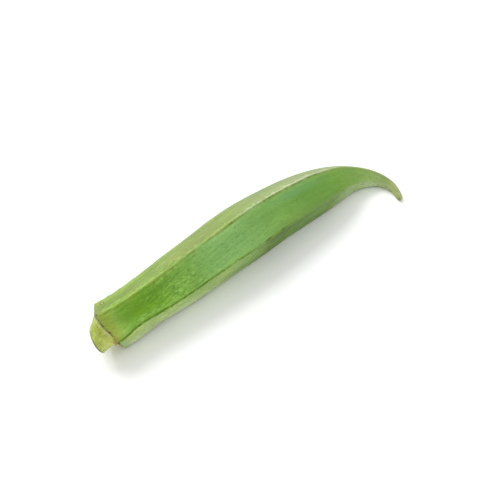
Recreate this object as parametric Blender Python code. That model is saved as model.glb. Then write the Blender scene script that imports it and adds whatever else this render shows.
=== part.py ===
"""An okra pod with its cut stem, grown as one piece and lying on one of its five faces.

Metres, +Z up. +X runs from the stem towards the tip, +Y is the side that the pod
bows towards, and the surface it lies on is Z = 0. The origin is the bottom centre of
the pod's box. The pod is a tube of five-sided cross-sections threaded on a curved
middle line: straight along the body, hooked at the tip.
"""

import math

import bmesh
import bpy
from mathutils import Vector

MM = 0.001

# Driving dimensions
POD_LENGTH = 132.0 * MM  # the bow and the swelling below are given as shares of this
TIP_END = 132.7 * MM  # along the middle line, from the calyx scar to the tip
BELLY = 9.5 * MM  # middle line to a face, at the thickest place
STEM_LENGTH = 5.9 * MM  # calyx scar to the cut, along the stem's middle
STEM_RADIUS = 4.6 * MM  # at the cut

# The middle line, seen from above. Headings are in degrees from +X, turning to +Y.
SCAR_HEADING = 7.0
BOW_RISE = 22.0
BOW_FALL = -37.0
HOOK_TURN = 92.0
HOOK_START = 0.786  # share of the pod's length
HOOK_POWER = 1.6
STEM_SWING = 10.0  # how far the stem is turned from the pod, to the -Y side
STEM_DIP = 13.0  # how far it points down
STEM_TURN_SHARE = 0.6  # its sections have turned to face along it by this share of it

# Middle line to a face, as a share of BELLY, at shares of the pod's length.
FACE_PROFILE = (
    (0.00, 0.87),
    (0.06, 0.85),
    (0.18, 0.895),
    (0.32, 0.955),
    (0.46, 1.00),
    (0.58, 0.935),
    (0.68, 0.85),
    (0.77, 0.69),
    (0.86, 0.405),
    (0.94, 0.19),
    (0.985, 0.112),
    (0.999, 0.085),
    (1.006, 0.012),
)
# Radius of the stem, as a share of STEM_RADIUS, at shares of its length.
STEM_PROFILE = (
    (0.00, 1.70),
    (0.15, 1.48),
    (0.30, 1.35),
    (0.50, 1.21),
    (0.75, 1.08),
    (1.00, 1.00),
)
# Which way the five faces look, in degrees about the middle line: 0 is +Y, 90 is up,
# and 270 is the face that the pod lies on.
FACE_DIRECTIONS = (54.0, 125.0, 197.0, 270.0, 343.0)
LOWER_FACE = 197.0
# Towards the stem that face looks up more, by these degrees at these millimetres from
# the scar, and is that much nearer the middle line for each degree.
LOWER_FACE_TURN = (
    (0.0, 0.0),
    (3.0, -1.5),
    (6.0, -8.0),
    (10.0, -10.5),
    (15.0, -8.0),
    (22.0, -4.0),
    (35.0, -1.0),
    (60.0, 0.0),
)
LOWER_FACE_SHRINK = 0.0045
ANGLE_SHARPNESS = 14.0  # higher makes the five angles sharper
ROUND_SHARE = 0.7  # the stem has lost its angles by this share of its length
TWIST = ((0.0, 0.0), (0.4, 0.0), (0.7, -4.0), (1.0, -9.0))
# The scar and the cut both reach furthest back on the side that faces up and -Y.
SCAR_SLANT = 3.35 * MM
SCAR_SLANT_DIRECTION = 109.0
SLANT_FADE = 16.0 * MM  # the slant dies out over this length of pod
CUT_SLANT = 2.7 * MM
CUT_SLANT_DIRECTION = 150.0
# The scar is uneven: it lies this much further back, in millimetres, at these degrees.
SCAR_WANDER = (
    (0.0, -0.3),
    (25.0, -0.5),
    (55.0, 0.15),
    (90.0, 0.35),
    (120.0, 0.0),
    (140.0, -0.5),
    (160.0, 0.15),
    (180.0, -0.1),
    (215.0, 0.0),
    (260.0, 0.2),
    (310.0, -0.1),
    (360.0, -0.3),
)
WANDER_REACH = 2.5 * MM
# The stem is pinched on its lower -Y side, close to the scar.
PINCH_DEPTH = 0.6 * MM
PINCH_DIRECTION = 215.0
PINCH_WIDTH = 35.0
PINCH_BACK = 2.4 * MM
PINCH_REACH = 1.6 * MM

# The mesh: rings of points, closer together where the shape is fine
SIDES = 40
SHOULDER = 12.0 * MM  # pod next to the scar
HOOK = 24.0 * MM
TIP = 6.0 * MM
BODY = TIP_END - SHOULDER - HOOK - TIP
# (length of the zone, number of rings in it), from the stem's cut to the tip
RING_ZONES = ((STEM_LENGTH, 9), (SHOULDER, 8), (BODY, 32), (HOOK, 18), (TIP, 9))


def smooth_curve(points, at):
    """The value at a place on a smooth curve through (place, value) points."""
    last = len(points) - 1
    if at <= points[0][0]:
        return points[0][1]
    if at >= points[last][0]:
        return points[last][1]
    i = max(k for k in range(last) if points[k][0] <= at)
    x0, y0 = points[i]
    x1, y1 = points[i + 1]
    width = x1 - x0
    slope0, slope1 = slope_at(points, i), slope_at(points, i + 1)
    u = (at - x0) / width
    return (
        (2 * u**3 - 3 * u**2 + 1) * y0
        + (u**3 - 2 * u**2 + u) * width * slope0
        + (3 * u**2 - 2 * u**3) * y1
        + (u**3 - u**2) * width * slope1
    )


def slope_at(points, i):
    """The curve's slope at a point. It is level where the values turn, so nothing bulges."""
    if i == 0 or i == len(points) - 1:
        j = max(i, 1)
        return (points[j][1] - points[j - 1][1]) / (points[j][0] - points[j - 1][0])
    before = (points[i][1] - points[i - 1][1]) / (points[i][0] - points[i - 1][0])
    after = (points[i + 1][1] - points[i][1]) / (points[i + 1][0] - points[i][0])
    if before * after <= 0:
        return 0.0
    return 2 * before * after / (before + after)


def heading(distance):
    """Which way the pod's middle line runs in plan, in radians, that far from the scar."""
    share = distance / POD_LENGTH
    hooked = max(0.0, (share - HOOK_START) / (1 - HOOK_START))
    degrees = SCAR_HEADING + BOW_RISE * share + BOW_FALL * share**2
    return math.radians(degrees - HOOK_TURN * hooked**HOOK_POWER)


def plan_point(distance, steps=240):
    """The middle line in plan: heading summed from the scar, which is at (0, 0)."""
    step = distance / steps
    x = y = 0.0
    for i in range(steps):
        angle = heading((i + 0.5) * step)
        x += math.cos(angle) * step
        y += math.sin(angle) * step
    return x, y


def hump(value, centre, width):
    return math.exp(-(((value - centre) / width) ** 2))


def five_sided(angle, distance):
    """Distance to the skin of a rounded five-sided section whose faces are at 1."""
    twist = smooth_curve(TWIST, distance / POD_LENGTH)
    turn = smooth_curve(LOWER_FACE_TURN, distance / MM)
    total = 0.0
    for direction in FACE_DIRECTIONS:
        lower = turn if direction == LOWER_FACE else 0.0
        towards = math.cos(angle - math.radians(direction + twist + lower))
        size = 1 + LOWER_FACE_SHRINK * lower
        total += (max(0.0, towards) / size) ** ANGLE_SHARPNESS
    return total ** (-1 / ANGLE_SHARPNESS)


def skin_radius(distance, angle):
    """Middle line to skin, at a distance from the scar and an angle about the line."""
    if distance >= 0:
        face = BELLY * smooth_curve(FACE_PROFILE, distance / POD_LENGTH)
        return face * five_sided(angle, distance)
    back = -distance / STEM_LENGTH
    stem = STEM_RADIUS * smooth_curve(STEM_PROFILE, back)
    corners = max(0.0, 1 - back / ROUND_SHARE)
    around = math.degrees(angle) % 360
    pinch = hump(around, PINCH_DIRECTION, PINCH_WIDTH)
    pinch *= PINCH_DEPTH * hump(-distance, PINCH_BACK, PINCH_REACH)
    return stem * (1 + corners * (five_sided(angle, 0.0) - 1)) - pinch


def section_angles():
    return [2 * math.pi * i / SIDES for i in range(SIDES)]


def pod_middle(distance):
    """The pod's middle line, high enough for each section to stand on the surface."""
    x, y = plan_point(distance)
    reach = [skin_radius(distance, a) * -math.sin(a) for a in section_angles()]
    return Vector((x, y, max(reach)))


def pointing(turn, climb=0.0):
    """A unit vector that way in plan, and climbing by that angle."""
    level = math.cos(climb)
    return Vector((level * math.cos(turn), level * math.sin(turn), math.sin(climb)))


def stem_direction():
    """Towards the pod, so it climbs by the angle that the stem dips."""
    return pointing(math.radians(SCAR_HEADING + STEM_SWING), math.radians(STEM_DIP))


def section_frame(distance):
    """Centre of a section, and its sideways, upward and forward directions.

    The pod's sections are upright, so the face that it lies on is flat.
    """
    centre = pod_middle(max(distance, 0.0))
    forward = pointing(heading(max(distance, 0.0)))
    if distance < 0:
        centre = centre + stem_direction() * distance
        turned = min(1.0, -distance / STEM_LENGTH / STEM_TURN_SHARE)
        forward = forward.slerp(stem_direction(), turned)
    side = Vector((0, 0, 1)).cross(forward).normalized()
    return centre, side, forward.cross(side), forward


def slant(distance, angle):
    """How far a point of the skin moves back, where the scar and the cut slant."""
    at_scar = SCAR_SLANT * math.cos(angle - math.radians(SCAR_SLANT_DIRECTION))
    wander = MM * smooth_curve(SCAR_WANDER, math.degrees(angle) % 360)
    wander *= hump(distance, 0.0, WANDER_REACH)
    if distance >= 0:
        return at_scar * max(0.0, 1 - distance / SLANT_FADE) ** 2 + wander
    at_cut = CUT_SLANT * math.cos(angle - math.radians(CUT_SLANT_DIRECTION))
    back = -distance / STEM_LENGTH
    return at_scar * (1 - back) + at_cut * back + wander


def ring_distances():
    """Where the rings are, as distances from the scar, from the cut to the tip."""
    distances = [-STEM_LENGTH]
    for length, rings in RING_ZONES:
        start = distances[-1]
        distances += [start + length * (i + 1) / rings for i in range(rings)]
    return distances


def pod_mesh():
    """A cylinder with a ring at each distance, then each ring laid on its section."""
    distances = ring_distances()
    shape = bmesh.new()
    bmesh.ops.create_cone(
        shape, cap_ends=True, segments=SIDES, radius1=1, radius2=1, depth=1
    )
    upright = [e for e in shape.edges if abs(e.verts[0].co.z - e.verts[1].co.z) > 0.5]
    bmesh.ops.subdivide_edges(shape, edges=upright, cuts=len(distances) - 2)
    frames = [section_frame(d) for d in distances]
    for vertex in shape.verts:
        ring = round((vertex.co.z + 0.5) * (len(distances) - 1))
        angle = math.atan2(vertex.co.y, vertex.co.x)
        centre, side, up, forward = frames[ring]
        radius = skin_radius(distances[ring], angle)
        outward = side * math.cos(angle) + up * math.sin(angle)
        back = forward * slant(distances[ring], angle)
        vertex.co = centre + outward * radius - back
    mesh = bpy.data.meshes.new("okra_pod")
    shape.to_mesh(mesh)
    shape.free()
    return mesh


def to_bottom_centre(mesh):
    """Moves the mesh so that the origin is the bottom centre of its box."""
    points = [v.co for v in mesh.vertices]
    low = [min(p[i] for p in points) for i in range(3)]
    high = [max(p[i] for p in points) for i in range(3)]
    base = Vector(((low[0] + high[0]) / 2, (low[1] + high[1]) / 2, low[2]))
    for vertex in mesh.vertices:
        vertex.co -= base


def okra_green():
    material = bpy.data.materials.new("okra_skin")
    material.use_nodes = True
    skin = material.node_tree.nodes["Principled BSDF"]
    skin.inputs["Base Color"].default_value = (0.19, 0.36, 0.07, 1)
    skin.inputs["Roughness"].default_value = 0.55
    skin.inputs["Metallic"].default_value = 0.0
    return material


def build():
    for existing in list(bpy.data.objects):
        bpy.data.objects.remove(existing)
    mesh = pod_mesh()
    to_bottom_centre(mesh)
    mesh.materials.append(okra_green())
    mesh.shade_smooth()
    mesh.set_sharp_from_angle(angle=math.radians(40))
    pod = bpy.data.objects.new("okra_pod", mesh)
    parts = bpy.data.collections.new("okra_pod")
    bpy.context.scene.collection.children.link(parts)
    parts.objects.link(pod)


build()
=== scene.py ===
"""A fresh okra pod, as picked, lying on one of its five faces on a pale studio floor.

Metres, +Z up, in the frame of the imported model. The pod is one growth, so it is one
piece: the cut stem, the scar that the calyx left, the five-ribbed pod and its hooked
tip. Distances along the pod are in millimetres from the scar, towards the tip, and
angles round it are in degrees, from its +Y side by way of its top. Ribs and faces are
numbered from 0 the same way round, and each rib comes before the face of its number.
"""

import math
from types import SimpleNamespace

import bpy
import numpy as np
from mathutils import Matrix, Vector, noise


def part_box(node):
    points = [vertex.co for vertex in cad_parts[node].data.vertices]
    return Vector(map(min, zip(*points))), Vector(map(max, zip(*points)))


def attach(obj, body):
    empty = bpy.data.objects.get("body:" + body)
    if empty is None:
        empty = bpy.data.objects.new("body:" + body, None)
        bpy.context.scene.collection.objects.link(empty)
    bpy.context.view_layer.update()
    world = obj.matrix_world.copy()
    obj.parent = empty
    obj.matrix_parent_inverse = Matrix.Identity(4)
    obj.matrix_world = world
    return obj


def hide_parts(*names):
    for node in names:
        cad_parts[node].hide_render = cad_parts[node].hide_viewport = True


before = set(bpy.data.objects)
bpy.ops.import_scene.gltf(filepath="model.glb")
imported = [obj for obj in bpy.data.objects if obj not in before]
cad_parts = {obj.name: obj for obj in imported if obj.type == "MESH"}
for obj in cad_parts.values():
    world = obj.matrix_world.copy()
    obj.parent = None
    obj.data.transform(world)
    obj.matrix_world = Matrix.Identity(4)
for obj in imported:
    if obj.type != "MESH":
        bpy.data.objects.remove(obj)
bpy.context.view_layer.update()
cad_low, cad_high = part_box("okra_pod")

MM = 0.001

# The pod's own shape, in millimetres and degrees. The solid has the same one, except
# that its tip is less rounded and ends 0.6 mm sooner, that its hook is even, and that
# none of its ribs is sunk.
POD_LENGTH = 132.0  # the bow and the swelling are given as shares of this
TIP_END = 133.3
LAST_FULL = 131.2  # the end of the tip rounds off past this
BELLY = 9.5  # middle line to a face, at the thickest place
STEM_LENGTH = 5.9
STEM_RADIUS = 4.6
# Which way the middle line runs in plan: from the scar, through the bow, into the hook
SCAR_HEADING = 7.0
BOW_RISE = 22.0
BOW_FALL = -37.0
HOOK_TURN = 92.0
HOOK_START = 0.786
HOOK_POWER = 1.6
# The stem swings and dips away from the pod's line, in this share of its length
STEM_SWING = 10.0
STEM_DIP = 13.0
STEM_TURN_SHARE = 0.6
# Middle line to a face, as a share of the belly, at shares of the pod's length
FACE_PROFILE = (
    (0.0, 0.87),
    (0.06, 0.85),
    (0.18, 0.895),
    (0.32, 0.955),
    (0.46, 1.0),
    (0.58, 0.935),
    (0.68, 0.85),
    (0.77, 0.69),
    (0.86, 0.405),
    (0.94, 0.19),
    (0.988, 0.112),
    (1.004, 0.085),
    (1.0106, 0.012),
)
# How far rib 3, the lower one of the near side, is sunk next to the scar
SUNK_DIRECTION = 233.5
SUNK_WIDTH = 28.0
SUNK_DEPTH = (
    (-1.0, 0.0),
    (0.5, 0.2),
    (4.0, 0.4),
    (10.0, 0.95),
    (16.0, 1.25),
    (22.0, 0.8),
    (28.0, 0.2),
    (33.0, 0.0),
)
# How far the hook of a real pod strays outwards from that even curve
HOOK_STRAY = (
    (0.0, 0.0),
    (90.0, 0.0),
    (100.0, 0.1),
    (107.0, 0.4),
    (114.0, 0.6),
    (121.0, 0.8),
    (125.0, 0.65),
    (129.5, -0.1),
    (133.3, -0.5),
)
# The stem's radius, as a share of the one at the cut, at shares of the way to the cut
STEM_PROFILE = (
    (0.0, 1.70),
    (0.15, 1.48),
    (0.30, 1.35),
    (0.50, 1.21),
    (0.75, 1.08),
    (1.0, 1.0),
)
# Which way each face looks
FACES = (54.0, 125.0, 197.0, 270.0, 343.0)
LOWER_FACE = 2  # it is turned up a little towards the stem
LOWER_FACE_TURN = (
    (0.0, 0.0),
    (3.0, -1.5),
    (6.0, -8.0),
    (10.0, -10.5),
    (15.0, -8.0),
    (22.0, -4.0),
    (35.0, -1.0),
    (60.0, 0.0),
)
LOWER_FACE_SHRINK = 0.0045  # for each degree of that turn
TWIST = ((0.0, 0.0), (53.0, 0.0), (92.0, -4.0), (132.0, -9.0))
ANGLE_SHARPNESS = 14.0  # how crisp the five corners of a section are
ROUND_SHARE = 0.7  # of the stem's length, from the scar to where it is round
# The scar isn't square to the pod: it lies back most in one direction, and strays
SCAR_SLANT = 3.35
SCAR_SLANT_DIRECTION = 109.0
SCAR_WANDER = (
    (0.0, -0.3),
    (25.0, -0.5),
    (55.0, 0.15),
    (90.0, 0.35),
    (120.0, 0.0),
    (140.0, -0.5),
    (160.0, 0.15),
    (180.0, -0.1),
    (215.0, 0.0),
    (260.0, 0.2),
    (310.0, -0.1),
    (360.0, -0.3),
)
WANDER_REACH = 2.5  # a ring this far from the scar hardly strays
SLANT_FADE = 16.0  # and one this far is square to the pod
# The stem is pinched in below, next to the scar
PINCH_DEPTH = 0.6
PINCH_DIRECTION = 215.0
PINCH_WIDTH = 35.0
PINCH_BACK = 2.4
PINCH_REACH = 1.6
# The cut slants too, and its edge is a little rounded
CUT_SLANT = 2.7
CUT_SLANT_DIRECTION = 150.0
CUT_ROUNDING = 0.3

# The mesh: columns crowd towards the ribs, and rings towards the scar and the ends
COLUMNS_PER_FACE = 40
SIDES = 5 * COLUMNS_PER_FACE
CROWDING = 0.72
CUTS = 20  # made twice in each long edge, which gives 21 x 21 steps
STEPS = (CUTS + 1) ** 2
# The distance of each ring, by its number
RING_PLACES = (
    (0, -STEM_LENGTH),
    (7, -5.5),
    (28, -1.3),
    (54, 1.5),
    (75, 6.0),
    (412, 127.0),
    (STEPS, TIP_END),
)
CUT_RINGS = 8

# The skin's relief, in millimetres
RIB_BEAD = 0.16
RIB_BEAD_WIDTH = 0.42
RIB_GROOVE = 0.10
RIB_GROOVE_OUT = 0.9  # from the rib
RIB_GROOVE_WIDTH = 0.4
CREASE_DEPTH = 0.26
CREASE_WIDTH = 0.3
THINNEST_CREASE = 0.12
STREAK_HEIGHT = 0.05
DENT_DEPTH = 0.13
SEED_SWELLING = 0.05
SEED_SPACING = 6.6
SEEDS_OUT = 6.0  # from the rib
SEED_ROW_WIDTH = 3.0
GRAIN_HEIGHT = 0.022
LIP_HEIGHT = 0.14
LIP_WIDTH = 0.28
GROOVE_BEHIND_LIP = 0.18
STEM_LUMPS = 0.16
TIP_WRINKLES = 0.045
PITH_BULGE = 0.45
PITH_RIPPLE = 0.144

# Noises of the skin: their size along the pod and across it in millimetres, and a seed
NOISES = {
    "wander": (5, 40, 1),  # of a crease from its line
    "breaks": (1.7, 9, 2),  # in a crease
    "streaks": (16, 1.3, 3),
    "dents": (9, 5, 4),
    "grain": (1.6, 0.9, 5),
    "lip": (2, 1.1, 6),
    "lip_bits": (1, 0.7, 7),
    "stem_lumps": (2.4, 1.7, 8),
    "fuzz": (1.1, 0.8, 9),  # along the ribs
    "spots": (0.9, 0.9, 10),  # of brown
    "tufts": (1.0, 0.45, 11),  # along the ribs
    "torn": (1.3, 0.9, 12),  # cork
    "uneven": (2.6, 1.0, 13),  # where the greens of two faces meet
}

# For each rib, which side of it the crease is on: 1 is towards the face of its number
CREASE_SIDES = (1, 1, -1, -1, 1)
# Each table below has a curve along the pod for each rib, as (distance, value) points.
# The first says how marked each crease is, both in its depth and in the painted shade in it.
CREASES = (
    ((0, 0.2), (6, 0.7), (30, 0.8), (55, 0.3), (90, 0.5), (112, 0.0)),
    (
        (0, 0.0), (49, 0.0), (53, 0.5), (57, 0.2), (66, 0.2), (71, 0.55),
        (76, 0.4), (84, 0.5), (92, 0.4), (106, 0.0),
    ),
    (
        (0, 1.0), (15, 1.0), (20, 0.7), (23, 0.45), (27, 0.8), (33, 0.9), (47, 0.4), (54, 0.5),
        (58, 0.1), (61, 0.1), (63.5, 0.7), (66, 0.1), (69, 0.1), (71, 0.6), (73, 0.05), (84, 0.0),
    ),
    ((0, 0.4), (5, 0.8), (40, 0.6), (70, 0.2), (100, 0.3), (115, 0.0)),
    ((0, 0.3), (8, 0.9), (50, 0.7), (75, 0.5), (100, 0.2), (112, 0.0)),
)
# How far each crease lies from its rib, in millimetres
CREASE_OFFSETS = (
    ((0, 0.3), (100, 0.3)),
    ((0, 0.35), (40, 0.4), (50, 0.65), (57, 0.6), (66, 0.35), (100, 0.35)),
    (
        (0, 0.3), (3, 0.3), (6, 0.05), (10, -0.15), (15, -0.1),
        (20, 0.1), (30, 0.15), (40, 0.45), (100, 0.3),
    ),
    ((0, 0.3), (10, 0.0), (30, 0.2), (100, 0.3)),
    ((0, 0.3), (100, 0.3)),
)
# How light the crest of each rib is: partly its own paler green and partly a painted highlight
CREST_PALENESS_AND_HIGHLIGHT = (
    ((0, 0.0), (3, 0.5), (14, 0.6), (26, 0.2), (50, 0.3), (70, 0.7), (95, 0.7), (112, 0.0)),
    (
        (0, 0.0), (3, 0.8), (14, 0.9), (24, 0.6), (56, 0.6), (62, 1.2),
        (68, 0.9), (74, 0.8), (84, 1.1), (97, 1.1), (108, 0.4), (114, 0.0),
    ),
    ((0, 0.0), (4, 0.3), (12, 0.1), (40, 0.1), (60, 0.0), (90, 0.0), (100, 0.1), (112, 0.0)),
    ((0, 0.0), (3, 0.5), (14, 0.6), (26, 0.2), (50, 0.3), (70, 0.5), (95, 0.5), (112, 0.0)),
    ((0, 0.0), (3, 0.6), (14, 0.7), (26, 0.3), (50, 0.3), (70, 0.7), (95, 0.6), (112, 0.0)),
)
# How light the edge beside each crease is: partly pale tufts of down and partly a painted
# highlight on the rib
CREASE_EDGES_AND_HIGHLIGHTS = (
    ((0, 0.2), (20, 0.5), (50, 0.4), (80, 0.2), (100, 0.0)),
    ((0, 0.0), (60, 0.0), (70, 0.15), (90, 0.15), (100, 0.0)),
    (
        (0, 0.0), (3, 0.6), (8, 0.8), (18, 0.65), (30, 0.5), (38, 0.8),
        (46, 0.6), (52, 0.6), (58, 0.3), (64, 0.3), (76, 0.1), (84, 0.0),
    ),
    ((0, 0.1), (20, 0.4), (60, 0.3), (90, 0.0)),
    ((0, 0.2), (20, 0.5), (60, 0.3), (90, 0.0)),
)
# How browned by knocks each rib is
BROWNED = (
    ((0, 0.1), (30, 0.0), (44, 0.4), (52, 0.1), (76, 0.2), (84, 0.8), (92, 0.2), (110, 0.0)),
    (
        (0, 0.0), (50, 0.05), (53, 0.65), (57, 0.3), (59, 0.0), (68, 0.1), (71, 0.75),
        (76, 0.55), (79, 0.05), (83, 0.5), (86, 0.1), (91, 0.4), (95, 0.05), (108, 0.0),
    ),
    (
        (0, 0.3), (4, 0.0), (61, 0.0), (64, 0.6), (67, 0.1),
        (69, 0.1), (71, 0.6), (73, 0.1), (82, 0.0),
    ),
    ((0, 0.2), (8, 0.0), (30, 0.1), (36, 0.6), (44, 0.1), (80, 0.3), (100, 0.0)),
    ((0, 0.1), (20, 0.0), (58, 0.2), (66, 0.7), (74, 0.1), (100, 0.0)),
)
# How pale each face is: face 1 grew towards the light
PALE_FACES = (1.0, 0.0, 1.0, 0.8, 0.35)


def smooth_curve(points, at):
    """The values at these places on a smooth curve through (place, value) points."""
    x, y = np.array(points, float).T
    rise = np.diff(y) / np.diff(x)
    slope = np.concatenate([rise[:1], np.zeros(len(x) - 2), rise[-1:]])
    turning = rise[:-1] * rise[1:] <= 0
    safe = np.where(turning, 1.0, rise[:-1] + rise[1:])
    slope[1:-1] = np.where(turning, 0.0, 2 * rise[:-1] * rise[1:] / safe)
    at = np.clip(at, x[0], x[-1])
    i = np.clip(np.searchsorted(x, at, side="right") - 1, 0, len(x) - 2)
    width = x[i + 1] - x[i]
    u = (at - x[i]) / width
    return (
        (2 * u**3 - 3 * u**2 + 1) * y[i]
        + (u**3 - 2 * u**2 + u) * width * slope[i]
        + (3 * u**2 - 2 * u**3) * y[i + 1]
        + (u**3 - u**2) * width * slope[i + 1]
    )


def smooth_step(value, low, high):
    """0 up to low and 1 from high on, and eased between them."""
    share = np.clip((value - low) / (high - low), 0, 1)
    return share * share * (3 - 2 * share)


def fade(value, start, gone):
    """1 up to the start and 0 once gone, and eased between them."""
    return 1 - smooth_step(value, start, gone)


def between(value, none, full, start, gone):
    """Rises from none to full, and fades again from start to gone."""
    return smooth_step(value, none, full) * fade(value, start, gone)


def hump(value, centre, width):
    return np.exp(-(((value - centre) / width) ** 2))


def heading(distance):
    """Which way the middle line runs in plan, in radians."""
    share = distance / POD_LENGTH
    hooked = np.clip((share - HOOK_START) / (1 - HOOK_START), 0, 1)
    degrees = SCAR_HEADING + BOW_RISE * share + BOW_FALL * share**2
    return np.radians(degrees - HOOK_TURN * hooked**HOOK_POWER)


def plan_points(distance):
    """The middle line in plan, with the scar at (0, 0)."""
    line = np.linspace(0, TIP_END, 4001)
    run = heading((line[1:] + line[:-1]) / 2)
    x = np.concatenate([[0], np.cumsum(np.cos(run) * line[1])])
    y = np.concatenate([[0], np.cumsum(np.sin(run) * line[1])])
    return np.interp(distance, line, x), np.interp(distance, line, y)


def face_directions(distance):
    """The directions of the five faces at each of these distances."""
    twist = smooth_curve(TWIST, distance)
    faces = [face + twist for face in FACES]
    faces[LOWER_FACE] = faces[LOWER_FACE] + smooth_curve(LOWER_FACE_TURN, distance)
    return faces


def lower_face_size(distance):
    """The lower face lies nearer to the middle line where it is turned up."""
    return 1 + LOWER_FACE_SHRINK * smooth_curve(LOWER_FACE_TURN, distance)


def rib_directions(distance):
    """The directions of the ribs, from the one before the first face."""
    faces = face_directions(distance)
    before = [faces[-1] - 360, *faces[:-1]]
    ribs = np.array([(a + b) / 2 for a, b in zip(before, faces)])
    half_width = math.tan(math.radians(180 / len(FACES)))  # of a face of size 1
    moved = np.degrees((1 - lower_face_size(distance)) / 2 / half_width)
    ribs[LOWER_FACE] -= moved
    ribs[LOWER_FACE + 1] += moved
    return ribs


def skin_radius(distance, around):
    """Middle line to the smooth skin, without its relief."""
    total = 0.0
    for i, face in enumerate(face_directions(distance)):
        towards = np.clip(np.cos(np.radians(around - face)), 0, None)
        if i == LOWER_FACE:
            towards = towards / lower_face_size(distance)
        total = total + towards**ANGLE_SHARPNESS
    five_sided = total ** (-1 / ANGLE_SHARPNESS)
    face_size = BELLY * smooth_curve(FACE_PROFILE, distance / POD_LENGTH)
    back = np.clip(-distance / STEM_LENGTH, 0, 1)
    corners = np.clip(1 - back / ROUND_SHARE, 0, 1)
    stem = STEM_RADIUS * smooth_curve(STEM_PROFILE, back)
    stem = stem * (1 + corners * (five_sided - 1))
    pinch = hump(around % 360, PINCH_DIRECTION, PINCH_WIDTH)
    stem = stem - PINCH_DEPTH * pinch * hump(-distance, PINCH_BACK, PINCH_REACH)
    rim = np.clip(CUT_ROUNDING - (STEM_LENGTH + distance), 0, CUT_ROUNDING)
    stem = stem - CUT_ROUNDING + np.sqrt(CUT_ROUNDING**2 - rim**2)
    return np.where(distance >= 0, face_size * five_sided, stem)


def unit(vectors):
    return vectors / np.linalg.norm(vectors, axis=-1, keepdims=True)


def pointing(turn, climb):
    level = np.cos(climb)
    parts = (level * np.cos(turn), level * np.sin(turn), np.sin(climb) + 0 * turn)
    return np.stack(parts, axis=-1)


def section_frames(distance):
    """Centres of sections, and their sideways, upward and forward directions."""
    on_pod = np.clip(distance, 0, None)
    around = np.linspace(0, 360, 361)
    # The rounded end of the tip keeps the height of the last full section
    radius = skin_radius(np.minimum(on_pod, LAST_FULL)[:, None], around)
    height = (radius * -np.sin(np.radians(around))).max(axis=1)
    centre = np.stack([*plan_points(on_pod), height], axis=-1)
    forward = pointing(heading(on_pod), 0.0)
    stem = pointing(np.radians(SCAR_HEADING + STEM_SWING), math.radians(STEM_DIP))
    back = np.clip(-distance, 0, None)[:, None]
    turned = np.clip(back / STEM_LENGTH / STEM_TURN_SHARE, 0, 1)
    forward = unit(forward * (1 - turned) + stem * turned)
    centre = centre - stem * back
    side = unit(np.cross((0.0, 0.0, 1.0), forward))
    return centre, side, np.cross(forward, side), forward


def slant(distance, around):
    """How far back a point of the skin lies, where the scar and the cut slant."""
    at_scar = SCAR_SLANT * np.cos(np.radians(around - SCAR_SLANT_DIRECTION))
    wander = smooth_curve(SCAR_WANDER, around % 360) * hump(distance, 0, WANDER_REACH)
    at_cut = CUT_SLANT * np.cos(np.radians(around - CUT_SLANT_DIRECTION))
    back = np.clip(-distance / STEM_LENGTH, 0, 1)
    fading = np.clip(1 - distance / SLANT_FADE, 0, 1) ** 2
    along_stem = at_scar * (1 - back) + at_cut * back
    return np.where(distance >= 0, at_scar * fading, along_stem) + wander


def select_only(piece, kind, wanted):
    """In edit mode, selects the edges or faces that pass a test, and nothing else."""
    bpy.ops.mesh.select_mode(type={"edges": "EDGE", "polygons": "FACE"}[kind])
    bpy.ops.mesh.select_all(action="DESELECT")
    bpy.ops.object.mode_set(mode="OBJECT")
    for item in getattr(piece.data, kind):
        item.select = wanted(item)
    bpy.ops.object.mode_set(mode="EDIT")


def pod_blank():
    """A straight rod of the pod's length, ringed all along, with a ringed cut end."""
    bpy.ops.object.select_all(action="DESELECT")
    bpy.ops.mesh.primitive_cylinder_add(
        vertices=SIDES, radius=BELLY * MM, depth=(TIP_END + STEM_LENGTH) * MM
    )
    blank = bpy.context.object
    blank.name = blank.data.name = "okra_pod_skin"
    corners = blank.data.vertices

    def runs_along(edge):
        a, b = (corners[v].co for v in edge.vertices)
        return abs(b.z - a.z) > 0.1 * MM

    bpy.ops.object.mode_set(mode="EDIT")
    for _ in range(2):
        select_only(blank, "edges", runs_along)
        bpy.ops.mesh.subdivide(number_cuts=CUTS)
    select_only(blank, "polygons", lambda face: face.normal.z < -0.9)
    for _ in range(CUT_RINGS):
        bpy.ops.mesh.inset(thickness=BELLY * MM / (CUT_RINGS + 1))
    bpy.ops.mesh.poke()
    bpy.ops.object.mode_set(mode="OBJECT")
    return blank


def coordinates(mesh):
    found = np.zeros(len(mesh.vertices) * 3)
    mesh.vertices.foreach_get("co", found)
    return found.reshape(-1, 3)


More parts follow.
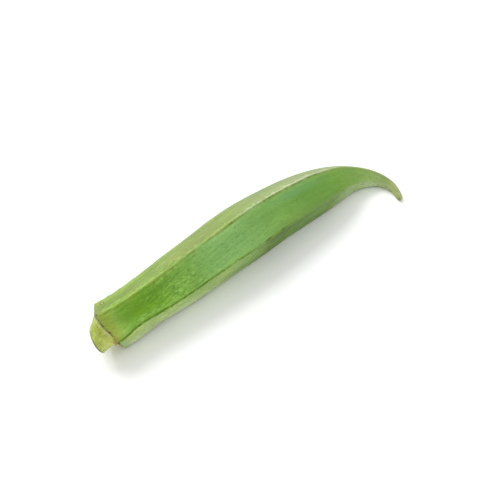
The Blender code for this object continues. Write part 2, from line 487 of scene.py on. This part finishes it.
def places_on_blank(mesh):
    """Where each vertex of the blank lies on the pod: arrays with a value for each one."""
    start = coordinates(mesh) / MM
    step = np.rint((start[:, 2] / (TIP_END + STEM_LENGTH) + 0.5) * STEPS).astype(int)
    distance = smooth_curve(RING_PLACES, np.arange(STEPS + 1))[step]
    out = np.hypot(start[:, 0], start[:, 1]) / BELLY
    share = np.where((step > 0) | (out > 0.999), 1.0, out)
    angle = np.degrees(np.arctan2(start[:, 1], start[:, 0])) % 360
    column = np.rint(angle / 360 * SIDES) % SIDES
    face = (column // COLUMNS_PER_FACE).astype(int)
    across = column / COLUMNS_PER_FACE - face
    crowded = across - CROWDING * np.sin(2 * np.pi * across) / (2 * np.pi)
    ribs = rib_directions(distance)
    ribs = np.concatenate([ribs, ribs[:1] + 360])
    every = np.arange(len(face))
    low, high = ribs[face, every], ribs[face + 1, every]
    around = low + (high - low) * crowded
    nearest = np.where(across < 0.5, face, face + 1)
    turn = np.radians(around)
    radius = skin_radius(distance, around)
    reach = radius * share
    return SimpleNamespace(
        step=step,
        distance=distance,
        face=face,
        rib=nearest % len(FACES),
        around=around,
        angle=around % 360,
        turn=turn,
        radius=radius,
        share=share,  # of the radius: less than 1 only on the cut
        gap=(around - ribs[nearest, every]) * np.pi / 180 * radius,  # from the rib
        straight=np.stack([distance, reach * np.cos(turn), reach * np.sin(turn)], axis=-1),
    )


def smooth_noise(x, y, z, seed):
    """Even noise from -1 to 1, with features about one unit across."""
    points = np.stack([x + 31.7 * seed, y - 17.3 * seed, z + 0 * x], axis=-1)
    return np.array([noise.noise(p) for p in points])


def skin_noises(at):
    x, y, z = at.straight.T
    return SimpleNamespace(
        **{
            name: smooth_noise(x / along, y / across, z / across, seed)
            for name, (along, across, seed) in NOISES.items()
        }
    )


def curve_by_rib(curves, at):
    """The values at these places on the curve of the rib that each place is near."""
    values = np.zeros(len(at.distance))
    for i, points in enumerate(curves):
        here = at.rib == i
        values[here] = smooth_curve(points, at.distance[here])
    return values


def rib_creases(at, noisy):
    """Which side of its rib each crease is on, the gap from it, and how marked it is."""
    side = np.array(CREASE_SIDES)[at.rib]
    gap = side * at.gap - curve_by_rib(CREASE_OFFSETS, at) - 0.16 * noisy.wander
    # Its side towards the rib is ragged, and most so some 14 mm from the scar
    widest = hump(at.distance, 14, 8)
    ragged = 1.2 + 1.2 * noisy.fuzz + 1.1 * widest * (0.8 + 0.9 * noisy.fuzz)
    width = CREASE_WIDTH * np.where(gap < 0, ragged, 0.95 + 0.25 * widest)
    line = hump(gap, 0, np.maximum(width, THINNEST_CREASE))
    unbroken = np.clip(0.85 + 0.9 * noisy.breaks, 0.2, 1)
    depth = line * curve_by_rib(CREASES, at) * unbroken * smooth_step(at.distance, -0.2, 0.6)
    return SimpleNamespace(side=side, gap=gap, depth=depth)


def skin_relief(at, noisy, creases):
    """How far the skin stands out from the even one, in millimetres."""
    distance = at.distance
    on_pod = smooth_step(distance, 0.2, 2.5)
    before_tip = fade(distance, 100, 122)
    calmer_at_tip = on_pod * (0.35 + 0.65 * before_tip)
    bead = hump(at.gap, 0, RIB_BEAD_WIDTH) * (1 + 0.5 * noisy.fuzz)
    bead = bead * np.where(at.rib == 2, 1 - 0.75 * smooth_step(distance, 50, 62), 1.0)
    grooves = hump(abs(at.gap), RIB_GROOVE_OUT, RIB_GROOVE_WIDTH)
    grooves = grooves * np.where(creases.side * at.gap > 0, 1.0, 0.35)
    relief = calmer_at_tip * (RIB_BEAD * bead - RIB_GROOVE * grooves)
    relief = relief - CREASE_DEPTH * creases.depth * on_pod
    near_stem = fade(distance, 20, 60)
    streaks = STREAK_HEIGHT * (1 + near_stem) * noisy.streaks
    relief = relief + on_pod * before_tip * streaks
    relief = relief + calmer_at_tip * DENT_DEPTH * noisy.dents
    # The rows of seeds swell the faces, and neighbouring rows are out of step
    seeds = np.cos(2 * np.pi * (distance + 3.1 * at.face) / SEED_SPACING)
    seeds = seeds * hump(abs(at.gap), SEEDS_OUT, SEED_ROW_WIDTH)
    relief = relief + SEED_SWELLING * seeds * between(distance, 12, 30, 85, 105)
    relief = relief + GRAIN_HEIGHT * noisy.grain
    # The scar's lip and the groove behind it, then the lumps of the stem
    lip = hump(distance, 0.05 + 0.18 * noisy.lip, LIP_WIDTH)
    relief = relief + lip * LIP_HEIGHT * (1 + noisy.lip_bits)
    relief = relief - GROOVE_BEHIND_LIP * hump(distance, -0.65, 0.35)
    relief = relief + on_stem(at) * STEM_LUMPS * noisy.stem_lumps
    wrinkles = np.sin(7 * at.turn + 0.9 * np.sin(distance / 2.5))
    relief = relief + TIP_WRINKLES * between(distance, 108, 122, 131.6, 132.5) * wrinkles
    sunk = smooth_curve(SUNK_DEPTH, distance) * hump(at.angle, SUNK_DIRECTION, SUNK_WIDTH)
    return relief - sunk


def on_stem(at):
    """1 on the stem's skin and 0 on the pod, and less on the cut towards its middle."""
    return fade(at.distance, -0.8, -0.2) * at.share


def pith_bulge(at):
    """How far the cut's pith bulges out, in low ripples round its middle."""
    inside = 1 - at.share
    bulge = PITH_BULGE * inside + PITH_RIPPLE * np.sin(9 * at.turn) * at.share * inside
    return np.where(at.step == 0, bulge, 0)


def bend(mesh, at, relief):
    """Bends the straight pod into its bow and hook, in the middle of the solid's box."""
    rings = smooth_curve(RING_PLACES, np.arange(STEPS + 1))
    centre, side, up, forward = (part[at.step] for part in section_frames(rings))
    outward = side * np.cos(at.turn)[:, None] + up * np.sin(at.turn)[:, None]
    reach = (at.radius + relief) * at.share
    back = slant(at.distance, at.around) * at.share - pith_bulge(at)
    placed = (centre + outward * reach[:, None] - forward * back[:, None]) * MM
    low, high = placed.min(axis=0), placed.max(axis=0)
    shift = (np.array(cad_low) + np.array(cad_high) - low - high) / 2
    shift[2] = 0.0
    stray = smooth_curve(HOOK_STRAY, at.distance) * MM
    placed = placed + shift + side * stray[:, None]
    placed[:, 2] = np.maximum(placed[:, 2], cad_low[2])
    mesh.vertices.foreach_set("co", placed.ravel())


def rib_masks(at, noisy, creases):
    """The marks along the ribs, from 0 to 1."""
    distance = at.distance
    # The crest lies beside the crease, and further from it near the stem. Its lightness is
    # partly the rib's own paler green and partly a painted highlight along it.
    crest_place = -0.75 - 0.45 * fade(distance, 10, 24)
    inner_width = 0.85 + (0.35 + 0.5 * noisy.fuzz) * fade(distance, 24, 42)
    outer_width = 0.8 + 1.5 * noisy.fuzz
    crest_width = np.where(creases.gap < crest_place, outer_width, inner_width)
    crest = hump(creases.gap, crest_place, np.maximum(crest_width, 0.25))
    crest = crest * curve_by_rib(CREST_PALENESS_AND_HIGHLIGHT, at) * (0.95 + noisy.fuzz)
    wider = fade(distance, 12, 22)
    # The light edge beside the crease: partly pale tufts of down, partly a painted highlight
    edge = hump(creases.gap, 0.8 + 0.6 * wider + 0.25 * noisy.fuzz, 0.5 + 0.45 * wider)
    edge = edge * curve_by_rib(CREASE_EDGES_AND_HIGHLIGHTS, at) * (0.75 + 1.5 * noisy.tufts)
    browned = hump(creases.gap, -0.1, 0.3) * smooth_step(noisy.spots, -0.15, 0.25)
    return {
        "crease": creases.depth,
        "crease_edge": np.clip(edge, 0, 1) * smooth_step(distance, 0.2, 2.5),
        "crest": np.clip(crest, 0, 1),
        "browned": np.clip(browned * curve_by_rib(BROWNED, at), 0, 1),
    }


def face_masks(at, noisy, creases):
    """How pale each face is, and the duller and greyer places on the faces."""
    distance = at.distance
    # The colour turns at the crease: unevenly on rib 1 near the stem, softly on rib 2 later
    rib_1_near_stem = np.where(at.rib == 1, fade(distance, 38, 50), 0)
    rib_2_past_middle = np.where(at.rib == 2, smooth_step(distance, 52, 64), 0)
    soft = 0.3 + 0.4 * rib_1_near_stem + 0.6 * rib_2_past_middle
    uneven = (2.4 * noisy.uneven + 0.7 * noisy.tufts) * rib_1_near_stem - 0.5 * rib_2_past_middle
    past_crease = smooth_step(creases.side * creases.gap + uneven, -soft, soft)
    pale = np.array(PALE_FACES)
    lower = np.arange(len(FACES)) == LOWER_FACE
    olive = np.where(at.rib == 0, hump(at.gap, 2.4, 1.2) * hump(distance, 76, 16), 0)
    olive = olive + np.where(at.rib == 2, hump(at.gap, -1.3, 1.2) * hump(distance, 80, 12), 0)
    return {
        "pale_face": pale[at.rib - 1] * (1 - past_crease) + pale[at.rib] * past_crease,
        "lower_face": lower[at.rib - 1] * (1 - past_crease) + lower[at.rib] * past_crease,
        # A painted bluish sheen, a soft reflection, on face 1 at about 82 mm from the scar
        "painted_bluish_sheen": hump(np.where(at.rib == 1, at.gap, 0), 2.4, 1.3) * hump(distance, 82, 13),
        "olive": olive * (0.75 + 0.5 * noisy.dents),
        # Painted light from the floor: the lower face and the rib below it are paler near the
        # scar
        "painted_floor_bounce": between(at.angle, 172, 215, 236, 262) * between(distance, 1, 4, 20, 50),
    }


def scar_masks(at, noisy):
    """The marks of the scar, of a nick in the skin next to it, and of the stem."""
    distance, angle = at.distance, at.angle
    # A nick, with a corky rim and a dry core
    nick_out = np.hypot((distance - 2.85) / 0.5, (angle - 41) / 7) + 0.35 * noisy.fuzz
    nick_rim = 0.8 * hump(nick_out, 1.1, 0.4)
    torn = 0.25 + 0.75 * smooth_step(noisy.torn, -0.45, 0.0)
    cork = hump(distance, -0.12 + 0.2 * noisy.lip, 0.17) * torn
    cork = cork * (1 - 0.75 * between(angle, 172, 190, 215, 240))
    # A darker band at the scar's lower side: partly cork, partly painted shade
    dark_cork_and_shade = 0.9 * hump(angle, 163, 6) * hump(distance, -0.2, 0.45)
    flakes = hump(distance, -0.62 + 0.2 * noisy.lip, 0.22) * smooth_step(-noisy.lip, -0.2, 0.2)
    burnt = hump(angle, 178, 20) * smooth_step(distance, -1.6, -0.9)
    yellowed = 0.3 + 0.7 * between(angle, 70, 98, 165, 185)
    yellowed = yellowed * fade(distance, 0.6, 3.4)
    yellowed = yellowed + 1.1 * hump(angle, 48, 24) * fade(distance, 0.5, 1.2)
    cut_edge = hump(distance, 0.1 - STEM_LENGTH, 0.35) * smooth_step(at.share, 0.86, 1.0)
    return {
        "cork": np.clip(cork + nick_rim + dark_cork_and_shade, 0, 1),
        "flakes": 0.85 * flakes * fade(angle, 132, 155) + hump(nick_out, 0, 0.75),
        "burnt": burnt * fade(distance, 0.1, 0.5 + 0.3 * noisy.fuzz),
        "waxy": hump(angle, 190, 24) * between(distance, 0.1, 0.7, 1.4, 3.6),
        "scar_halo": yellowed * smooth_step(distance, -0.3, 0.3),
        "stem": on_stem(at),
        # Painted light under the stem and painted shade on its top
        "stem_underside_painted_light": between(angle, 105, 165, 200, 230),
        "stem_top_painted_shade": hump(angle, 68, 38),
        "cut_rim": cut_edge,
    }


def grown(blank):
    """Bends, swells and creases the blank into the pod, and paints its masks."""
    mesh = blank.data
    at = places_on_blank(mesh)
    noisy = skin_noises(at)
    creases = rib_creases(at, noisy)
    bend(mesh, at, skin_relief(at, noisy, creases))
    masks = {
        **rib_masks(at, noisy, creases),
        **face_masks(at, noisy, creases),
        **scar_masks(at, noisy),
    }
    for name, values in masks.items():
        mask = mesh.attributes.new(name, "FLOAT", "POINT")
        mask.data.foreach_set("value", values.astype(np.float32))
    place = mesh.attributes.new("straight", "FLOAT_VECTOR", "POINT")
    place.data.foreach_set("vector", at.straight.astype(np.float32).ravel())
    mesh.update()
    return at.step, list(masks)


def linear(hex_code):
    """An sRGB hex colour as linear red, green, blue and alpha."""
    values = [int(hex_code[i : i + 2], 16) / 255 for i in (1, 3, 5)]
    low = [v / 12.92 for v in values]
    high = [((v + 0.055) / 1.055) ** 2.4 for v in values]
    return [a if v <= 0.04045 else b for v, a, b in zip(values, low, high)] + [1.0]


def add(tree, kind, inputs=(), stops=(), out=0, **settings):
    """Adds a node with its settings, links or sets its inputs, and returns an output.

    Stops are the (place, colour) of a colour ramp.
    """
    made = tree.nodes.new("ShaderNode" + kind)
    for name, value in settings.items():
        setattr(made, name, value)
    for name, value in dict(inputs).items():
        if isinstance(value, bpy.types.NodeSocket):
            tree.links.new(value, made.inputs[name])
        elif isinstance(value, str):
            made.inputs[name].default_value = linear(value)
        else:
            made.inputs[name].default_value = value
    for i, (place, colour) in enumerate(stops):
        elements = made.color_ramp.elements
        if i > 1:
            elements.new(place)
        elements[i].position = place
        elements[i].color = linear(colour)
    return made.outputs[out]


# The sockets of a Mix node that mixes colours
FACTOR, FIRST, SECOND = 0, 6, 7
PAINT = {"data_type": "RGBA", "out": 2}
TIMES = {"operation": "MULTIPLY"}
TIMES_PLUS = {"operation": "MULTIPLY_ADD"}

# The skin's greens along the pod, as (share of the way to the tip, colour): on the face
# that grew towards the light, on the shaded ones, and on the lower one. The lower one's
# greens are lighter near the scar, as painted light from the floor below, and darker
# from about 65 to 95 mm, as painted shade.
SUNNY_GREENS = (
    (0.008, "#8fa43e"),
    (0.023, "#85a744"),
    (0.045, "#669325"),
    (0.079, "#638f18"),
    (0.109, "#63911c"),
    (0.151, "#6b972b"),
    (0.196, "#709c3b"),
    (0.241, "#749f42"),
    (0.286, "#7aa756"),
    (0.343, "#7ca85c"),
    (0.414, "#7aa65a"),
    (0.49, "#749e4c"),
    (0.565, "#6d9942"),
    (0.641, "#67953b"),
    (0.716, "#669239"),
    (0.787, "#6d953a"),
    (0.836, "#769c47"),
    (0.882, "#8ca85e"),
    (0.927, "#869b60"),
    (0.959, "#929e62"),
    (0.982, "#8e985c"),
    (1.0, "#6d782d"),
)
SHADED_GREENS = (
    (0.008, "#708628"),
    (0.045, "#6b8726"),
    (0.079, "#6d8827"),
    (0.109, "#6e8a2e"),
    (0.151, "#789536"),
    (0.241, "#778d3e"),
    (0.286, "#76893f"),
    (0.414, "#70853d"),
    (0.49, "#788b49"),
    (0.565, "#74874c"),
    (0.641, "#7b8956"),
    (0.716, "#788954"),
    (0.787, "#77864c"),
    (0.836, "#769042"),
    (0.882, "#819a53"),
    (0.927, "#809456"),
    (0.959, "#96a169"),
)
# Lighter near the scar as painted light from the floor, darker from about 65 to 95 mm as painted
# shade
LOWER_GREENS_SHADE_AND_BOUNCE = (
    (0.008, "#95a857"),
    (0.045, "#a5b964"),
    (0.079, "#a0b86c"),
    (0.151, "#95b15d"),
    (0.241, "#8ead5d"),
    (0.343, "#8da85b"),
    (0.414, "#7a9e4e"),
    (0.49, "#537022"),
    (0.565, "#547522"),
    (0.641, "#5e8432"),
    (0.716, "#688839"),
    (0.787, "#8aa46b"),
    (0.836, "#8ea869"),
    (0.882, "#afc48f"),
    (0.927, "#abba86"),
    (0.982, "#939e5f"),
    (1.0, "#6b752b"),
)
# The crests' greens: partly their own paler colour and partly a painted highlight
CREST_GREENS_AND_HIGHLIGHT = (
    (0.05, "#88ab40"),
    (0.2, "#8aa94c"),
    (0.42, "#98ad61"),
    (0.48, "#a2b884"),
    (0.65, "#b4bd90"),
    (0.8, "#9bad69"),
)
# How cloudy and how puckered the skin is along the pod: from black, not at all, to white
CLOUDY = (
    (0.29, "#c0c0c0"),
    (0.36, "#8c8c8c"),
    (0.43, "#8c8c8c"),
    (0.5, "#b4b4b4"),
    (0.58, "#b4b4b4"),
    (0.65, "#8c8c8c"),
)
PUCKERED = (
    (0.01, "#3c3c3c"),
    (0.05, "#585858"),
    (0.1, "#585858"),
    (0.14, "#9c9c9c"),
    (0.24, "#9c9c9c"),
    (0.31, "#686868"),
    (0.45, "#484848"),
    (0.8, "#202020"),
)
# The blotches of the stem, the bits of cork in the scar, and the skin burnt beside it,
# each as (strength of its noise, colour)
STEM_GREENS = ((0.32, "#8c993e"), (0.44, "#9eab47"), (0.56, "#aab551"), (0.7, "#bcc66a"))
CORK_BROWNS = (
    (0.36, "#2b2410"),
    (0.45, "#443822"),
    (0.53, "#64543c"),
    (0.58, "#a89a7a"),
    (0.64, "#46361a"),
)
BURNT_BROWNS = ((0.38, "#33290c"), (0.46, "#74591c"), (0.54, "#a8823a"), (0.66, "#c49a5e"))
# The cut from its middle out, as (share of its radius, colour)
PITH_GREENS = (
    (0.0, "#d9ddae"),
    (0.42, "#d3d8a2"),
    (0.56, "#b3bd74"),
    (0.64, "#8f9c4c"),
    (0.7, "#b9c47a"),
    (0.84, "#b2be66"),
    (0.97, "#8f9a48"),
)

# The skin's noise patterns: their size along the pod and across it in millimetres, where
# each starts, so that no two of a size fall together, and the noise's own settings
PATTERNS = {
    # Clouds of lighter and darker green
    "clouds": (16, 6, (0, 0, 0), {"Detail": 2.0}),
    # Where the skin is riper, and leans to yellow
    "ripe": (7, 3, (9, 4, 2), {"Detail": 3.0}),
    # Veins under the skin, about 1 mm apart
    "veins": (24, 1.1, (0, 0, 0), {"Detail": 3.0, "Roughness": 0.6}),
    # The down is too fine to see hair by hair, so it is drawn as a grain of 0.6 mm
    "grain": (0.9, 0.6, (0, 0, 0), {"Detail": 3.0, "Roughness": 0.7}),
    # Where the hair roots pucker the skin more and less
    "patches": (7, 4, (3, 7, 1), {"Detail": 1.0}),
    # Puckers round the hair roots, painted as lighter and darker flecks that stand for their
    # light and shade, the pale roots themselves with painted glints on them, and dark pores
    # between them
    "flecks": (2.2, 0.75, (0, 0, 0), {"Detail": 2.0, "Distortion": 0.6}),
    "dashes": (1.7, 0.6, (0, 0, 0), {"Detail": 1.0}),
    "pores": (1.5, 0.6, (5, 1, 8), {"Detail": 1.0}),
    # The stem's blotches, and short scratches along it
    "blotches": (2.2, 1.6, (0, 0, 0), {"Detail": 3.0}),
    "scratches": (1.8, 0.45, (0, 0, 0), {"Detail": 2.0}),
    # Bits of cork
    "bits": (0.6, 1.1, (0, 0, 0), {"Detail": 2.0, "Roughness": 0.7}),
}


def okra_skin(mask_names):
    """The skin of a fresh okra pod: waxy green, and dulled by a short pale down.

    It is deepest green on the face that grew towards the light, and greyer and paler on
    the others. Veins show in it as long faint streaks, hair roots as small pale dashes
    with painted glints, and knocks as brown specks along the ribs. The scar of the calyx
    is cork, and the stem is smoother and yellower than the pod. Light and shade are
    painted into the colour too: painted shade in the creases, at the scar's lower side and
    in the middle of the lower face, painted light from the floor on the lower face near the
    scar, a painted bluish sheen on the deepest green face, painted highlights along the
    crests and the crease edges, painted light and shade on the puckers, and a darker top
    and lighter underside on the stem.
    """
    material = bpy.data.materials.new("fresh_okra_skin")
    material.use_nodes = True
    tree = material.node_tree
    skin = tree.nodes["Principled BSDF"]
    mask = {name: add(tree, "Attribute", attribute_name=name, out=2) for name in mask_names}
    place = add(tree, "Attribute", attribute_name="straight", out=1)
    along = add(tree, "SeparateXYZ", {0: place})
    share = add(tree, "Math", {0: along, 1: TIP_END}, operation="DIVIDE")
    pattern = {}
    for name, (length, width, start, settings) in PATTERNS.items():
        scale = (1 / length, 1 / width, 1 / width)
        at = add(tree, "Mapping", {"Vector": place, "Location": start, "Scale": scale})
        pattern[name] = add(tree, "TexNoise", {"Vector": at, "Scale": 1.0, **settings})

    # Where each pattern shows: the noise from this strength to that, and what it comes to
    pore_depth = add(tree, "Math", {0: mask["lower_face"], 1: 0.2, 2: 0.4}, **TIMES_PLUS)
    shown = {}
    for name, source, low, high, least, most in (
        ("ripe", "ripe", 0.52, 0.75, 0.0, 0.4),
        ("patches", "patches", 0.38, 0.62, 0.2, 1.4),
        ("flecks", "flecks", 0.36, 0.68, 0.0, 1.0),
        ("dashes", "dashes", 0.61, 0.7, 0.0, 1.15),
        ("pores", "pores", 0.62, 0.7, 0.0, pore_depth),
        ("scratches", "scratches", 0.58, 0.68, 0.0, 0.75),
        ("yellowing", "bits", 0.38, 0.66, 0.1, 0.5),
        ("dullness", "clouds", 0.3, 0.7, 0.44, 0.58),
    ):
        ends = {"From Min": low, "From Max": high, "To Min": least, "To Max": most}
        shown[name] = add(tree, "MapRange", {"Value": pattern[source], **ends})

    sunny = add(tree, "ValToRGB", {0: share}, stops=SUNNY_GREENS)
    shaded = add(tree, "ValToRGB", {0: share}, stops=SHADED_GREENS)
    lower = add(tree, "ValToRGB", {0: share}, stops=LOWER_GREENS_SHADE_AND_BOUNCE)
    crest_tint_and_highlight = add(tree, "ValToRGB", {0: share}, stops=CREST_GREENS_AND_HIGHLIGHT)
    cork_brown = add(tree, "ValToRGB", {0: pattern["bits"]}, stops=CORK_BROWNS)
    burnt_brown = add(tree, "ValToRGB", {0: pattern["bits"]}, stops=BURNT_BROWNS)

    cloudy = add(tree, "ValToRGB", {0: share}, stops=CLOUDY)
    cloudy = add(tree, "Math", {0: mask["pale_face"], 1: 0.25, 2: cloudy}, **TIMES_PLUS)
    cloudy = add(tree, "Math", {0: mask["lower_face"], 1: 0.15, 2: cloudy}, **TIMES_PLUS)
    # Only the faces in the shade turn yellow, and the lower one less
    ripe = add(tree, "Math", {0: shown["ripe"], 1: mask["pale_face"]}, **TIMES)
    greener = add(tree, "Math", {0: mask["lower_face"], 1: -0.6, 2: 1.0}, **TIMES_PLUS)
    ripe = add(tree, "Math", {0: ripe, 1: greener}, **TIMES)
    # The faces in the shade are less puckered, and past the middle the skin is stretched
    # smoother, but not on the lower face
    puckered = add(tree, "ValToRGB", {0: share}, stops=PUCKERED)
    smoother = add(tree, "Math", {0: mask["pale_face"], 1: -0.5, 2: 1.0}, **TIMES_PLUS)
    puckered = add(tree, "Math", {0: puckered, 1: smoother}, **TIMES)
    ends = {"From Min": 0.5, "From Max": 0.68, "To Min": 1.0, "To Max": 0.55}
    unstretched = add(tree, "MapRange", {"Value": share, **ends})
    veined = add(tree, "Math", {0: puckered, 1: 0.6, 2: 0.22}, **TIMES_PLUS)
    veined = add(tree, "Math", {0: mask["pale_face"], 1: -0.1, 2: veined}, **TIMES_PLUS)
    veined = add(tree, "Math", {0: veined, 1: unstretched}, **TIMES)
    veined = add(tree, "Math", {0: mask["lower_face"], 1: 0.25, 2: veined}, **TIMES_PLUS)
    grainy = add(tree, "Math", {0: puckered, 1: 0.6, 2: 0.32}, **TIMES_PLUS)
    grainy = add(tree, "Math", {0: grainy, 1: unstretched}, **TIMES)
    grainy = add(tree, "Math", {0: mask["lower_face"], 1: 0.7, 2: grainy}, **TIMES_PLUS)
    puckered = add(tree, "Math", {0: puckered, 1: shown["patches"]}, **TIMES)
    dashes = add(tree, "Math", {0: shown["dashes"], 1: puckered}, **TIMES)
    # The creases are painted dark green: painted shade in their grooves
    crease_shade = add(tree, "MapRange", {"Value": mask["crease"], "From Max": 0.6, "To Max": 0.95})
    yellowed = add(tree, "Math", {0: shown["yellowing"], 1: mask["scar_halo"]}, **TIMES)

    # The stem: yellow-green, blotched, with short dark scratches along it. Its top is painted
    # darker and its underside lighter: painted shade and painted light that even out how the
    # key light falls on it.
    stem = add(tree, "ValToRGB", {0: pattern["blotches"]}, stops=STEM_GREENS)
    stem_coats = (
        (mask["stem_top_painted_shade"], 0.5, "#8c9a3c"),
        (mask["stem_underside_painted_light"], 0.55, "#c7d077"),
        (shown["scratches"], 1.0, "#67702c"),
    )
    for where, strength, paint in stem_coats:
        factor = add(tree, "Math", {0: where, 1: strength}, **TIMES)
        stem = add(tree, "Mix", {FACTOR: factor, FIRST: stem, SECOND: paint}, **PAINT)

    # The skin's coats of colour, each over the last: where, how strong, the colour, and
    # how it mixes
    coats = (
        (mask["pale_face"], 1.0, shaded, "MIX"),
        (mask["lower_face"], 1.0, lower, "MIX"),
        # Painted floor light on the lower face near the scar
        (mask["painted_floor_bounce"], 0.6, "#ccd9ae", "MIX"),
        (mask["waxy"], 0.7, "#8fbd92", "MIX"),
        (cloudy, 1.0, pattern["clouds"], "SOFT_LIGHT"),
        (ripe, 1.0, "#9c9a50", "MIX"),
        (veined, 1.0, pattern["veins"], "SOFT_LIGHT"),
        (grainy, 1.0, pattern["grain"], "SOFT_LIGHT"),
        # Painted light and shade of the puckers, as lighter and darker flecks
        (puckered, 1.0, shown["flecks"], "SOFT_LIGHT"),
        # Pale hair roots, partly painted glints on them
        (dashes, 1.0, "#a2cb70", "MIX"),
        (shown["pores"], 1.0, "#4c7322", "MIX"),
        # Painted bluish sheen on face 1
        (mask["painted_bluish_sheen"], 0.6, "#6c9c62", "MIX"),
        (mask["olive"], 0.6, "#71883f", "MIX"),
        # The crests: partly paler green, partly a painted highlight
        (mask["crest"], 0.75, crest_tint_and_highlight, "MIX"),
        # Crease edges: partly pale down, partly a painted highlight
        (mask["crease_edge"], 0.7, "#96c45f", "MIX"),
        # Painted shade in the creases
        (crease_shade, 1.0, "#4a7402", "MIX"),
        (mask["browned"], 1.0, "#5e5320", "MIX"),
        (mask["stem"], 1.0, stem, "MIX"),
        (yellowed, 1.0, "#8c9430", "MIX"),
        (mask["flakes"], 1.0, "#c0b88c", "MIX"),
        (mask["cork"], 1.0, cork_brown, "MIX"),
        (mask["burnt"], 1.0, burnt_brown, "MIX"),
        (mask["cut_rim"], 0.85, "#5c5a32", "MIX"),
    )
    colour = sunny
    for where, strength, paint, blend in coats:
        factor = add(tree, "Math", {0: where, 1: strength}, **TIMES)
        mixed = {FACTOR: factor, FIRST: colour, SECOND: paint}
        colour = add(tree, "Mix", mixed, blend_type=blend, **PAINT)
    tree.links.new(colour, skin.inputs["Base Color"])

    # The cork is dull, and the down varies the shine
    dull = add(tree, "Math", {0: mask["cork"], 1: 0.35, 2: shown["dullness"]}, **TIMES_PLUS)
    tree.links.new(dull, skin.inputs["Roughness"])
    skin.inputs["Specular IOR Level"].default_value = 0.22
    skin.inputs["Sheen Weight"].default_value = 0.05
    skin.inputs["Sheen Roughness"].default_value = 0.3

    cork = add(tree, "Math", {0: pattern["bits"], 1: mask["cork"]}, **TIMES)
    height = add(tree, "Math", {0: pattern["grain"], 1: 0.6}, **TIMES)
    for raised, amount in ((pattern["veins"], 0.8), (dashes, 0.5), (cork, 2.5)):
        height = add(tree, "Math", {0: raised, 1: amount, 2: height}, **TIMES_PLUS)
    bump = add(tree, "Bump", {"Height": height, "Strength": 0.8, "Distance": 0.12 * MM})
    tree.links.new(bump, skin.inputs["Normal"])
    return material


def cut_pith():
    """The fresh cut across the stem: moist pale pith in a ring of darker fibres."""
    material = bpy.data.materials.new("cut_okra_pith")
    material.use_nodes = True
    tree = material.node_tree
    cut = tree.nodes["Principled BSDF"]
    place = add(tree, "Attribute", attribute_name="straight", out=1)
    rim = add(tree, "Attribute", attribute_name="cut_rim", out=2)
    middle = add(tree, "Mapping", {"Vector": place, "Scale": (0, 1, 1)})
    # Cells 0.35 mm wide, and rings that stray in waves 0.9 mm wide
    cells = add(tree, "TexVoronoi", {"Vector": middle, "Scale": 1 / 0.35})
    wavy = add(tree, "TexNoise", {"Vector": middle, "Scale": 1 / 0.9, "Detail": 2.0})
    out = add(tree, "VectorMath", {0: middle}, operation="LENGTH", out=1)
    out = add(tree, "Math", {0: wavy, 1: 0.9, 2: out}, **TIMES_PLUS)
    out = add(tree, "Math", {0: out, 1: STEM_RADIUS + 0.5}, operation="DIVIDE")
    colour = add(tree, "ValToRGB", {0: out}, stops=PITH_GREENS)
    for where, paint, blend in ((0.45, cells, "SOFT_LIGHT"), (rim, "#6b6234", "MIX")):
        mixed = {FACTOR: where, FIRST: colour, SECOND: paint}
        colour = add(tree, "Mix", mixed, blend_type=blend, **PAINT)
    tree.links.new(colour, cut.inputs["Base Color"])
    # Wetter and drier places
    ends = {"From Min": 0.3, "From Max": 0.7, "To Min": 0.3, "To Max": 0.5}
    wet = add(tree, "MapRange", {"Value": wavy, **ends})
    tree.links.new(wet, cut.inputs["Roughness"])
    cut.inputs["Specular IOR Level"].default_value = 0.4
    bump = add(tree, "Bump", {"Height": cells, "Strength": 0.6, "Distance": 0.1 * MM})
    tree.links.new(bump, cut.inputs["Normal"])
    return material


def camera():
    """Looks down on the pod from its stem end, from the side that it curls to."""
    target = Vector((0.00342, 0.00183, 0.0))
    azimuth, elevation, distance = math.radians(-31.65), math.radians(52.5), 0.4364
    level = math.cos(elevation)
    back = Vector((math.sin(azimuth) * level, -math.cos(azimuth) * level, math.sin(elevation)))
    bpy.ops.object.camera_add(location=target + back * distance)
    eye = bpy.context.object
    eye.rotation_euler = (-back).to_track_quat("-Z", "Y").to_euler()
    eye.data.sensor_width = 36.0
    eye.data.lens = 86.4
    eye.data.clip_start = 0.01
    bpy.context.scene.camera = eye


def lights():
    """A pale room, and one large soft light above and behind the pod."""
    world = bpy.data.worlds.new("soft_room")
    bpy.context.scene.world = world
    world.use_nodes = True
    room = world.node_tree.nodes["Background"]
    room.inputs["Color"].default_value = (1, 1, 1, 1)
    room.inputs["Strength"].default_value = 0.92
    bpy.ops.object.light_add(type="AREA", location=(-0.08, 0.46, 0.48))
    key = bpy.context.object
    key.data.shape = "DISK"
    key.data.size = 0.5
    key.data.energy = 3.6
    key.rotation_euler = (-key.location).to_track_quat("-Z", "Y").to_euler()


def studio_floor():
    """Matt white card."""
    bpy.ops.mesh.primitive_plane_add(size=4.0, location=(0, 0, 0))
    floor = bpy.context.object
    floor.name = "floor"
    material = bpy.data.materials.new("white_card")
    material.use_nodes = True
    card = material.node_tree.nodes["Principled BSDF"]
    card.inputs["Base Color"].default_value = (0.93, 0.93, 0.93, 1)
    card.inputs["Roughness"].default_value = 0.9
    card.inputs["Specular IOR Level"].default_value = 0.2
    floor.data.materials.append(material)


bpy.context.scene.view_settings.view_transform = "Standard"
pod = pod_blank()
step_of, mask_names = grown(pod)
pod.data.materials.append(okra_skin(mask_names))
pod.data.materials.append(cut_pith())
for cut_face in pod.data.polygons:
    if all(step_of[corner] == 0 for corner in cut_face.vertices):
        cut_face.material_index = 1
bpy.ops.object.shade_smooth_by_angle(angle=math.radians(40))
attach(pod, "root")
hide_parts("okra_pod")
camera()
lights()
studio_floor()
